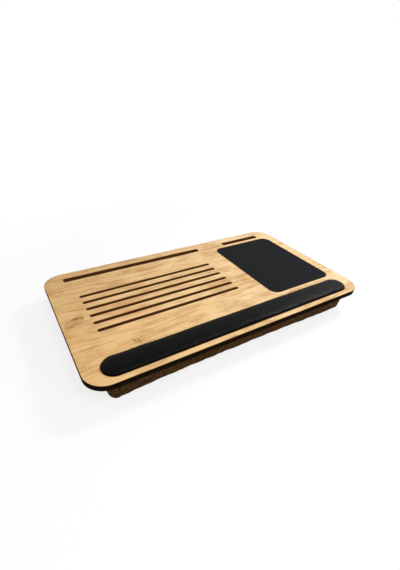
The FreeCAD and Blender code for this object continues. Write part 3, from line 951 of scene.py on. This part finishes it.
class CushionForm:
    """The cushion's outer form as rings of points, with a grid over its top and its underside."""

    end_columns = 9
    middle_columns = 92
    side_columns = 62
    row_counts = (4, 5, 5, 4, 2)
    row_panels = ("bottom", "band", "band", "band", "top")
    rear_panels = ("bottom", "rear_lower", "window", "rear_upper", "top")

    def __init__(self):
        self.shape = shape = settings("cushion")
        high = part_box("cushion_side_band")[1]
        self.half_width, self.half_depth = high.x, high.y
        self.underside, self.bottom_seam = (corner.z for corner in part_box("cushion_bottom_panel"))
        self.top_seam, self.top = (corner.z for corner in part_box("cushion_top_panel"))
        self.zip_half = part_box("cushion_rear_strip_upper")[1].x
        self.widest = self.top - shape.top_round_height
        self.zip_height = (shape.bottom_round_height + self.widest) / 2
        half_window = shape.zip_window / 2 * math.cos(shape.lean)
        self.breaks = (
            self.underside, self.bottom_seam, self.zip_height - half_window,
            self.zip_height + half_window, self.top_seam, self.top,
        )
        self.long_columns = 2 * self.end_columns + self.middle_columns
        self.count = 2 * (self.long_columns + self.side_columns)

    def profile(self):
        """(inset, height) up the side, closely spaced."""
        shape = self.shape
        foot = shape.bottom_round_height
        foot_inset = (self.widest - foot) * math.tan(shape.lean)
        flat_cut = 0.5 * MM
        turns = np.linspace(0, math.pi / 2, 30)
        inwards, upwards = 1 - np.cos(turns), np.sin(turns)
        lower = np.stack([
            foot_inset + shape.bottom_round_inset * inwards, foot - (foot + flat_cut) * upwards
        ], axis=1)
        upper = np.stack([
            shape.top_round_inset * inwards, self.widest + shape.top_round_height * upwards
        ], axis=1)
        return np.concatenate([lower[::-1], upper])

    def levels(self):
        """(inset, height) of each ring, with one on every seam and on the zip window's edges."""
        insets, heights = self.profile().T
        rows = []
        for low, high, count in zip(self.breaks, self.breaks[1:], self.row_counts):
            dense = np.linspace(low, high, 80)
            stretch = np.stack([np.interp(dense, heights, insets), dense], axis=1)
            rows.extend(spaced(stretch, count)[:-1])
        rows.append((np.interp(self.top, heights, insets), self.top))
        return rows

    def side(self, along, outwards, draw, straight_half):
        """One side from the middle of one corner to the middle of the next, as three stretches."""
        radius = self.shape.corner_radius
        reach = along - radius
        turn = np.linspace(math.radians(135), math.radians(90), 12)
        across_first = radius * np.cos(turn) - reach
        first = np.stack([across_first, outwards - radius + radius * np.sin(turn)], axis=1)
        across = np.linspace(-reach, reach, 400)
        if straight_half:
            drawn = 1 - smooth_step((np.abs(across) - straight_half) / (reach - straight_half))
        else:
            drawn = 1 - (across / reach) ** 2
        middle = np.stack([across, outwards - draw * drawn], axis=1)
        last = first[::-1] * (-1, 1)
        return np.concatenate([first[:-1], middle, last[1:]])

    def ring(self, inset):
        """The points of one ring, anticlockwise from the middle of the front left corner."""
        shape = self.shape
        width, depth = self.half_width - inset, self.half_depth - inset
        front = self.split(self.side(width, depth, shape.side_draw_in, 0))
        rear = self.split(self.side(width, depth, shape.rear_draw_in, self.zip_half))
        end = spaced(self.side(depth, width, shape.side_draw_in, 0), self.side_columns)
        left = end[:, ::-1] * (-1, -1)
        stretches = (front * (1, -1), end[:, ::-1], rear * (-1, 1), left)
        return np.concatenate([stretch[:-1] for stretch in stretches])

    def peaked(self, ring, height):
        """The ring with its corners drawn out where the bottom seam turns them."""
        corner = np.array([self.half_width, self.half_depth])
        away = np.linalg.norm(np.abs(ring) - corner * 0.97, axis=1)
        share = smooth_step((self.widest - height) / self.widest)
        push = self.shape.corner_peak * share * np.exp(-((away / self.shape.corner_reach) ** 2))
        moved = ring + np.sign(ring) * (push / math.sqrt(2))[:, None]
        slack = smooth_step((ring[:, 0] - self.zip_half) / (self.half_width - self.zip_half))
        moved[:, 0] -= self.shape.right_slack * slack
        return moved

    def lifted(self, ring, height):
        """Heights of a ring's points, with the slack front right corner lifted off the lap."""
        by_end = smooth_step((ring[:, 0] - self.half_width) / self.shape.lift_reach + 1)
        share = by_end * smooth_step(-ring[:, 1] / self.half_depth)
        return height + self.shape.corner_lift * share * (1 - height / self.top)

    def split(self, path):
        """A long side with a column on each end of the zip."""
        x, y = path.T
        left_end, right_end = (
            [[end, np.interp(end, x, y)]] for end in (-self.zip_half, self.zip_half)
        )
        left, right = path[x <= -self.zip_half], path[x >= self.zip_half]
        middle = path[np.abs(x) < self.zip_half]
        return np.concatenate([
            spaced(np.concatenate([left, left_end]), self.end_columns)[:-1],
            spaced(np.concatenate([left_end, middle, right_end]), self.middle_columns)[:-1],
            spaced(np.concatenate([right_end, right]), self.end_columns),
        ])

    def quarters(self, ring):
        """A ring's front, right, rear and left side, each from the left or from the front."""
        across, deep = self.long_columns, self.side_columns
        closed = np.concatenate([ring, ring[:1]])
        rear_start, left_start = across + deep, 2 * across + deep
        return (
            closed[: across + 1], closed[across : rear_start + 1],
            closed[rear_start : left_start + 1][::-1], closed[left_start:][::-1],
        )

    def lid(self, ring):
        """Grid of points inside a ring, blended from its four sides."""
        front, right, rear, left = self.quarters(ring)
        u = np.linspace(0, 1, self.long_columns + 1)[:, None, None]
        v = np.linspace(0, 1, self.side_columns + 1)[None, :, None]
        grid = (1 - v) * front[:, None] + v * rear[:, None] + (1 - u) * left[None] + u * right[None]
        front_corners = (1 - u) * (1 - v) * front[0] + u * (1 - v) * front[-1]
        return grid - (front_corners + (1 - u) * v * rear[0] + u * v * rear[-1])

    def build(self, name):
        """The closed form. Each face keeps its panel, and its place on the cloth as UV."""
        levels = self.levels()
        rings = []
        for inset, height in levels:
            ring = self.peaked(self.ring(inset), height)
            rings.append(np.column_stack([ring, self.lifted(ring, height)]))
        points = [p for ring in rings for p in ring]
        index = np.arange(len(points)).reshape(len(rings), self.count)
        self.faces, self.panels, self.uvs = [], [], []
        self.add_wall(rings, index, levels)
        for row, panel, turned in ((0, "bottom", True), (-1, "top", False)):
            self.add_lid(points, rings[row], index[row], panel, turned)
        piece = mesh_piece(name, points, self.faces)
        panel_layer = piece.data.attributes.new("panel", "INT", "FACE")
        panel_layer.data.foreach_set("value", [PANELS.index(p) for p in self.panels])
        cloth = piece.data.uv_layers.new(name="Cloth")
        cloth.data.foreach_set("uv", np.array(self.uvs).ravel())
        return piece

    def add_wall(self, rings, index, levels):
        """Quads between the rings, each in the panel of its rows and columns."""
        middle_ring = rings[len(rings) // 2][:, :2]
        steps = np.linalg.norm(np.roll(middle_ring, -1, axis=0) - middle_ring, axis=1)
        along = np.concatenate(([0], np.cumsum(steps)))
        rises = np.linalg.norm(np.diff(np.array(levels), axis=0), axis=1)
        up = np.concatenate(([0], np.cumsum(rises)))
        rear_start = self.long_columns + self.side_columns + self.end_columns
        rear_end = rear_start + self.middle_columns
        rear_middle = (rear_start + rear_end) // 2
        bands = zip(self.row_panels, self.rear_panels, self.row_counts)
        row_panels = [names for *names, count in bands for _ in range(count)]
        for row, (panel, rear_panel) in enumerate(row_panels):
            low, high = index[row], index[row + 1]
            low_v, high_v = up[row], up[row + 1]
            for k in range(self.count):
                after = (k + 1) % self.count
                self.faces.append((low[k], low[after], high[after], high[k]))
                self.panels.append(rear_panel if rear_start <= k < rear_end else panel)
                turn = along[-1] if k >= rear_middle else 0.0
                u, next_u = along[k] - turn, along[k + 1] - turn
                self.uvs.append(((u, low_v), (next_u, low_v), (next_u, high_v), (u, high_v)))

    def add_lid(self, points, ring, ring_index, panel, turned):
        """A grid of quads inside a ring."""
        grid = self.lid(ring)
        across, deep = self.long_columns, self.side_columns
        number = np.zeros((across + 1, deep + 1), int)
        number[:, 0], number[across], number[:, deep], number[0] = self.quarters(ring_index)
        for i in range(1, across):
            for j in range(1, deep):
                number[i, j] = len(points)
                points.append(grid[i, j])
        for i in range(across):
            for j in range(deep):
                cells = [(i, j), (i + 1, j), (i + 1, j + 1), (i, j + 1)]
                cells = cells[::-1] if turned else cells
                self.faces.append([number[cell] for cell in cells])
                self.panels.append(panel)
                self.uvs.append([grid[cell][:2] for cell in cells])


PANELS = ("bottom", "top", "band", "rear_lower", "rear_upper", "window")


def held_points(form, mesh):
    """Points that stay: the zip's straight wall, the lid and the middle of the underside."""
    x, y, z = coordinates(mesh).T
    flat = 0.5 * MM
    free_rim = 14 * MM
    beyond_zip, wall_depth = 6 * MM, 12 * MM
    wall_inset = (form.widest - form.zip_height) * math.tan(form.shape.lean)
    wall_rear = form.half_depth - form.shape.rear_draw_in - wall_inset
    by_zip = (
        (np.abs(x) < form.zip_half + beyond_zip) & (y > wall_rear - wall_depth)
        & (z > form.bottom_seam - MM) & (z < form.top_seam + MM)
    )
    on_lap = (
        (z < form.underside + flat)
        & (np.abs(x) < form.half_width - free_rim) & (np.abs(y) < form.half_depth - free_rim)
    )
    return np.nonzero(by_zip | (z > form.top - flat) | on_lap)[0]


def settle(form, mesh):
    """Keeps the cushion flat on the lap and clear of the strips under the board."""
    points = coordinates(mesh)
    points[:, 2] = np.clip(points[:, 2], form.underside, form.top)
    set_coordinates(mesh, points)


def rumple(form, mesh):
    """Puckers beside the seams and slow waves in the free cloth."""
    shape = form.shape
    points = coordinates(mesh)
    slow, fast = 45 * MM, 9 * MM
    seam_reach = 6 * MM
    beyond_zip, wall_depth = 8 * MM, 20 * MM
    flat = 0.3 * MM
    moved = points.copy()
    for k, ((x, y, z), normal) in enumerate(zip(points, normals(mesh))):
        seams = [((z - seam) / seam_reach) ** 2 for seam in (form.bottom_seam, form.top_seam)]
        near_seam = sum(math.exp(-away) for away in seams)
        beside_zip = abs(x) < form.zip_half + beyond_zip and y > form.half_depth - wall_depth
        if beside_zip or z < form.underside + flat or z > form.top - flat:
            continue
        wave = noise.noise(Vector((x, y, 2 * z)) / slow) * shape.unevenness
        pucker = noise.noise(Vector((x, y, z * 0.4)) / fast) * shape.pucker * near_seam
        moved[k] += normal * (wave + pucker)
    set_coordinates(mesh, moved)


def panel_piece(whole, panel, name):
    """One panel of the cover, its edges turned into the seams."""
    shape = settings("cushion")
    mesh = bmesh.new()
    mesh.from_mesh(whole.data)
    layer = mesh.faces.layers.int["panel"]
    others = [f for f in mesh.faces if f[layer] != PANELS.index(panel)]
    outwards = {v: v.normal.copy() for v in mesh.verts}
    bmesh.ops.delete(mesh, geom=others, context="FACES")
    uv = mesh.loops.layers.uv["Cloth"]
    rim_loops = [e.link_loops[0] for e in mesh.edges if len(e.link_faces) == 1]
    rim_edges = [(loop.vert, loop.link_loop_next.vert, loop) for loop in rim_loops]
    lip = 1.2 * MM
    turn_in = shape.seam_depth + lip
    inner = {}
    for first, second, loop in rim_edges:
        for vert in (first, second):
            if vert not in inner:
                inner[vert] = mesh.verts.new(vert.co - outwards[vert] * turn_in)
    for vert in inner:
        vert.co -= outwards[vert] * shape.seam_depth
    for first, second, loop in rim_edges:
        face = mesh.faces.new((second, first, inner[first], inner[second]))
        first_uv, second_uv = loop[uv].uv.copy(), loop.link_loop_next[uv].uv.copy()
        for corner, value in zip(face.loops, (second_uv, first_uv, first_uv, second_uv)):
            corner[uv].uv = value
    piece = edited_piece(name, mesh)
    thickened(piece, shape.cloth, 60)
    return piece


class LAPDESK_OT_cushion(bpy.types.Operator):
    """Builds the cushion: swollen by its filling, then cut into the panels of its cover"""

    bl_idname = "lapdesk.cushion"
    bl_label = "Cushion"

    def execute(self, context):
        form = CushionForm()
        whole = form.build("cushion_block")
        held = held_points(form, whole.data)
        swell(whole, held, form.shape.pressure, form.shape.swell_limit)
        settle(form, whole.data)
        cover = placed("cushion_cover", whole.data.copy())
        finer = cover.modifiers.new("Finer", "SUBSURF")
        finer.levels = finer.render_levels = 1
        applied(cover)
        rumple(form, cover.data)
        settle(form, cover.data)
        cloth = cushion_cloth()
        pieces = (
            ("bottom", "cushion_underside", "cushion_bottom_panel"),
            ("top", "cushion_lid", "cushion_top_panel"),
            ("band", "cushion_boxing", "cushion_side_band"),
            ("rear_lower", "cushion_zip_side_lower", "cushion_rear_strip_lower"),
            ("rear_upper", "cushion_zip_side_upper", "cushion_rear_strip_upper"),
        )
        for panel, name, node in pieces:
            piece = panel_piece(cover, panel, name)
            dress(piece, cloth, "desk", "cushion_cloth", node)
        bpy.data.objects.remove(cover)
        room_for_cover = 2.4 * MM
        inwards = -normals(whole.data) * room_for_cover
        set_coordinates(whole.data, coordinates(whole.data) + inwards)
        shade_smooth(whole, 60)
        dress(whole, foam(), "desk", "foam", "cushion_foam")
        return {"FINISHED"}


# Hook-and-loop strips


class LAPDESK_OT_strips(bpy.types.Operator):
    """Builds the hook strips under the board and the loop strips on the cushion"""

    bl_idname = "lapdesk.strips"
    bl_label = "Hook-and-loop strips"

    def execute(self, context):
        black = tone(26, 26, 26)
        ribs = (("hook_strips", "hook_tape", 1.6), ("loop_strips", "loop_tape", 0.7))
        for node, name, rib in ribs:
            strips = softened(node, name, 0.2 * MM)
            dress(strips, tape(name, black, rib * MM), "desk", name, node)
        return {"FINISHED"}


# Zip


SIDES = ((1, "upper"), (-1, "lower"))


def zip_place():
    """The zip's own frame: X along it to the left, Y up the leaning wall, Z out of it."""
    swing = next(joint for joint in frame["joints"] if joint["name"] == "pull_swing")
    up = Vector(swing["axis"]).normalized()
    along = Vector((-1, 0, 0))
    corners = [corner for _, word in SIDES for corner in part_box("zip_tape_" + word)]
    middle = (Vector(map(min, *corners)) + Vector(map(max, *corners))) / 2
    axes = Matrix((along, up, along.cross(up))).transposed()
    return Matrix.Translation(middle) @ axes.to_4x4()


def repeat_tree():
    """Node tree that sets copies of one small object along a path."""
    tree = bpy.data.node_groups.new("Copies along a path", "GeometryNodeTree")
    for name, kind in (
        ("Path", "Geometry"), ("Unit", "Object"), ("Spacing", "Float"),
        ("Unevenness", "Float"), ("Finish", "Material"),
    ):
        tree.interface.new_socket(name, in_out="INPUT", socket_type="NodeSocket" + kind)
    tree.interface.new_socket("Copies", in_out="OUTPUT", socket_type="NodeSocketGeometry")

    nodes = Nodes(tree)
    path = nodes.add("NodeGroupInput", {}, {}, "Path")
    uneven = path.output("Unevenness")
    curve = nodes.add("GeometryNodeMeshToCurve", {}, {"Mesh": path})
    even = nodes.add(
        "GeometryNodeResampleCurve", {"mode": "LENGTH"},
        {"Curve": curve, "Length": path.output("Spacing")},
    )
    unit = nodes.add("GeometryNodeObjectInfo", {}, {"Object": path.output("Unit")}, "Geometry")
    turn = nodes.add(
        "FunctionNodeRandomValue", {"data_type": "FLOAT"}, {2: -uneven, 3: uneven, "Seed": 7}, 1
    )
    turned = nodes.add("ShaderNodeCombineXYZ", {}, {"Z": turn})
    copies = nodes.add(
        "GeometryNodeInstanceOnPoints", {}, {"Points": even, "Instance": unit, "Rotation": turned}
    )
    real = nodes.add("GeometryNodeRealizeInstances", {}, {"Geometry": copies})
    painted = nodes.add(
        "GeometryNodeSetMaterial", {}, {"Geometry": real, "Material": path.output("Finish")}
    )
    nodes.feed(tree.nodes.new("NodeGroupOutput").inputs["Copies"], painted)
    return tree


def repeated(name, tree, path, unit, spacing, unevenness, material):
    """Runs the tree along a path of points and gives the copies as a plain mesh."""
    piece = mesh_piece(name, path, [], [(k, k + 1) for k in range(len(path) - 1)])
    copies = piece.modifiers.new("Copies", "NODES")
    copies.node_group = tree
    values = {"Unit": unit, "Spacing": spacing, "Unevenness": unevenness, "Finish": material}
    for socket in tree.interface.items_tree:
        if socket.name in values:
            copies[socket.identifier] = values[socket.name]
    applied(piece)
    bpy.data.objects.remove(unit)
    return piece


def tube(name, path, radius, sides):
    """A small closed tube along a path across X or along it, narrower at its ends."""
    narrowing = 0.55
    path = [Vector(p) for p in path]
    last = len(path) - 1
    points, rings = [], []
    for k, spot in enumerate(path):
        ahead = (path[min(k + 1, last)] - path[max(k - 1, 0)]).normalized()
        side = Vector((1, 0, 0)) if abs(ahead.x) < 0.9 else Vector((0, 1, 0))
        across = ahead.cross(side).normalized()
        over = ahead.cross(across)
        width = radius * (narrowing if k in (0, last) else 1.0)
        rings.append(range(len(points), len(points) + sides))
        for turn in np.linspace(0, 2 * math.pi, sides, endpoint=False):
            points.append(spot + (across * math.cos(turn) + over * math.sin(turn)) * width)
    faces = ring_faces(rings) + [tuple(rings[0]), tuple(rings[-1])]
    return clean(mesh_piece(name, points, faces), 180)


class LAPDESK_OT_zip(bpy.types.Operator):
    """Builds the zip's tapes, coil, stops, slider and pull, and the stitches beside it"""

    bl_idname = "lapdesk.zip"
    bl_label = "Zip"

    def execute(self, context):
        look = settings("zip")
        wall = zip_place()
        tree = repeat_tree()
        metal = bronze()
        weave_tape = tape("zip_tape", look.tape_tone, 0.8 * MM)
        nylon = plain("nylon_coil", look.coil_tone, 0.38, 0.0006, 0.00002)
        for side, word in SIDES:
            ribbon = softened("zip_tape_" + word, "zip_ribbon_" + word, 0.15 * MM)
            dress(ribbon, weave_tape, "desk", "zip_tape", "zip_tape_" + word)
            coil = coil_row("zip_teeth_" + word, "zip_coil_" + word, tree, side, nylon)
            coil.data.transform(wall)
            shade_smooth(coil, 60)
            dress(coil, nylon, "desk", "zip_coil", "zip_coil_" + word)
        thread = plain("thread", look.thread_tone, 0.75, 0.0004, 0.00005)
        for side, word in SIDES:
            row = stitches("zip_stitches_" + word, tree, side, thread)
            row.data.transform(wall)
            shade_smooth(row, 60)
            dress(row, thread, "desk", "cushion_cloth")
        for node, name, body, softness in (
            ("zip_top_stops", "zip_end_clips", "desk", 0.2),
            ("zip_bottom_stop", "zip_end_clip", "desk", 0.25),
            ("zip_slider", "zip_slider_body", "slider", 0.25),
            ("zip_pull_tab", "zip_pull", "pull", 0.3),
        ):
            piece = softened(node, name, softness * MM)
            dress(piece, metal, body, "zip_metal", node)
        return {"FINISHED"}


def stitches(name, tree, side, material):
    """A row of stitches on one side of the zip, lying on the swollen cloth."""
    look, shape = settings("zip"), settings("cushion")
    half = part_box("zip_tape_upper")[1].x
    reach, top = look.stitch_length / 2, look.thread * 0.3
    dip = -look.thread * 0.7
    arch = [(-reach, dip), (-reach * 0.7, 0), (0, top), (reach * 0.7, 0), (reach, dip)]
    unit = tube("stitch_unit", [(x, 0, z) for x, z in arch], look.thread / 2, 6)
    cloth_face = 0.85 * MM
    across = side * (shape.zip_window / 2 + look.stitch_inset)
    path = [(-half, across, cloth_face), (half, across, cloth_face)]
    step = look.stitch_length + look.stitch_gap
    return repeated(name, tree, path, unit, step, 0.05, material)


def coil_row(name, node, tree, side, material):
    """One row of the coil: a bent wire for each turn, half a turn on from the other row's."""
    look = settings("zip")
    low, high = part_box(node)
    outer, inner, rise = 2.5 * MM, -0.3 * MM, 0.92 * MM
    base = 0.3 * MM + look.tooth_wire / 2
    bend = (
        (outer * 0.96, 0), (outer, 0.4), (outer * 0.86, 0.9), (outer * 0.5, 1),
        (inner * -0.2, 0.95), (inner, 0.55), (inner * 0.6, 0.1),
    )
    wire = [(0, side * across, base + rise * share) for across, share in bend]
    unit = tube("tooth_unit", wire, look.tooth_wire / 2, 7)
    half_turn = look.tooth_pitch / 2
    start = low.x + half_turn + (half_turn if side > 0 else 0.0)
    path = [(start, 0, 0), (high.x - half_turn, 0, 0)]
    return repeated(name, tree, path, unit, look.tooth_pitch, 0.0, material)


# Stage

PICTURE_HEIGHT = 570
# Width of each lamp and its place, and the point that both face, in metres
KEY_LAMP = (0.3, (0.94, 0.01, 1.04))
FRONT_LAMP = (0.6, (-0.15, -0.90, 1.10))
LIT_POINT = (0, 0, 0.04)


class LAPDESK_OT_stage(bpy.types.Operator):
    """Sets the floor, the lamps, the background and the camera"""

    bl_idname = "lapdesk.stage"
    bl_label = "Stage"

    def execute(self, context):
        look = settings("stage")
        half = look.floor_size / 2
        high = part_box("cushion_bottom_panel")[1]
        squares = ((half, half), (high.x - look.foot_inset, high.y - look.foot_inset))
        signs = ((-1, -1), (1, -1), (1, 1), (-1, 1))
        corners = [(x * i, y * j, -look.floor_gap) for x, y in squares for i, j in signs]
        floor = mesh_piece("floor", corners, ring_faces([range(4), range(4, 8)]))
        floor.data.materials.append(floor_finish())
        self.background(context)
        self.lamp("key_lamp", look.key_power, *KEY_LAMP)
        self.lamp("front_lamp", look.front_power, *FRONT_LAMP)
        self.camera(context)
        return {"FINISHED"}

    def background(self, context):
        """Even light all round, shown as white to the camera."""
        look = settings("stage")
        world = bpy.data.worlds.new("studio")
        context.scene.world = world
        world.use_nodes = True
        tree = world.node_tree
        shade = tree.nodes["Background"]
        shade.inputs["Color"].default_value = (1, 1, 1, 1)
        nodes = Nodes(tree)
        nodes.feed(shade.inputs["Strength"], look.ambient + nodes.seen() * (1 - look.ambient))
        context.scene.view_settings.view_transform = "Standard"

    def lamp(self, name, power, width, spot):
        lamp = bpy.data.lights.new(name, "AREA")
        lamp.energy = power
        lamp.size = width
        piece = placed(name, lamp)
        piece.location = spot
        facing = Vector(LIT_POINT) - Vector(spot)
        piece.rotation_euler = facing.to_track_quat("-Z", "Y").to_euler()

    def camera(self, context):
        look = settings("stage")
        lens = bpy.data.cameras.new("camera")
        lens.lens = lens.sensor_width * look.focal_pixels / PICTURE_HEIGHT
        lens.clip_start = 0.01
        camera = placed("camera", lens)
        turn = (
            Matrix.Rotation(-look.heading, 4, "Z")
            @ Matrix.Rotation(math.pi / 2 - look.depression, 4, "X")
            @ Matrix.Rotation(look.roll, 4, "Z")
        )
        spot = Matrix.Translation((look.camera_x, look.camera_y, look.camera_z))
        camera.matrix_world = spot @ turn
        context.scene.camera = camera


def floor_finish():
    """Pale floor that fades into the white background and keeps a soft shadow."""
    look = settings("stage")
    finish = Finish("floor", {
        "Roughness": 1.0, "Specular IOR Level": 0.0,
        "Emission Color": (1, 1, 1, 1), "Emission Strength": 0.0,
    })
    here = finish.here()
    cloud = finish.noise(here, 0.6, 2.0)
    finish.shade(Base_Color=finish.scaled(look.floor_tone, 0.99 + cloud * 0.02))
    lit = Signal(finish, finish.shader.outputs["BSDF"])
    away = finish.add("ShaderNodeVectorMath", {"operation": "LENGTH"}, {0: here}, "Value")
    far = away.between(look.shadow_reach * 0.4, look.shadow_reach)
    glow = finish.add("ShaderNodeEmission", {}, {"Strength": 1.0})
    faded = finish.seen() * (1 - look.shadow + far * look.shadow)
    upper = finish.add("ShaderNodeMixShader", {}, {0: faded, 1: lit, 2: glow})
    clear = finish.add("ShaderNodeBsdfTransparent", {}, {})
    below = finish.add("ShaderNodeNewGeometry", {}, {}, "Backfacing")
    both = finish.add("ShaderNodeMixShader", {}, {0: below, 1: upper, 2: clear})
    finish.feed(finish.result.inputs["Surface"], both)
    return finish.material


STEPS = (
    LAPDESK_OT_board, LAPDESK_OT_mouse_pad, LAPDESK_OT_wrist_rest, LAPDESK_OT_cushion,
    LAPDESK_OT_strips, LAPDESK_OT_zip, LAPDESK_OT_stage,
)


class LAPDESK_PT_sidebar(bpy.types.Panel):
    """Lists the steps and their sizes in the 3D view's sidebar"""

    bl_idname = "LAPDESK_PT_sidebar"
    bl_label = "Lap Desk"
    bl_space_type = "VIEW_3D"
    bl_region_type = "UI"
    bl_category = "Lap Desk"

    def draw(self, context):
        for step in STEPS:
            self.layout.operator(step.bl_idname)
        for name, group in GROUPS.items():
            column = self.layout.column()
            column.label(text=name.replace("_", " ").capitalize())
            for prop in group.__annotations__:
                column.prop(settings(name), prop)


def register():
    for group in GROUPS.values():
        bpy.utils.register_class(group)
    for step in STEPS:
        bpy.utils.register_class(step)
    bpy.utils.register_class(LAPDESK_PT_sidebar)
    for name, group in GROUPS.items():
        setattr(bpy.types.Scene, "lap_desk_" + name, PointerProperty(type=group))


def unregister():
    for name in GROUPS:
        delattr(bpy.types.Scene, "lap_desk_" + name)
    bpy.utils.unregister_class(LAPDESK_PT_sidebar)
    for step in reversed(STEPS):
        bpy.utils.unregister_class(step)
    for group in reversed(GROUPS.values()):
        bpy.utils.unregister_class(group)


def main():
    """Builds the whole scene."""
    register()
    for step in STEPS:
        category, action = step.bl_idname.split(".")
        getattr(getattr(bpy.ops, category), action)()


if __name__ == "__main__":
    main()
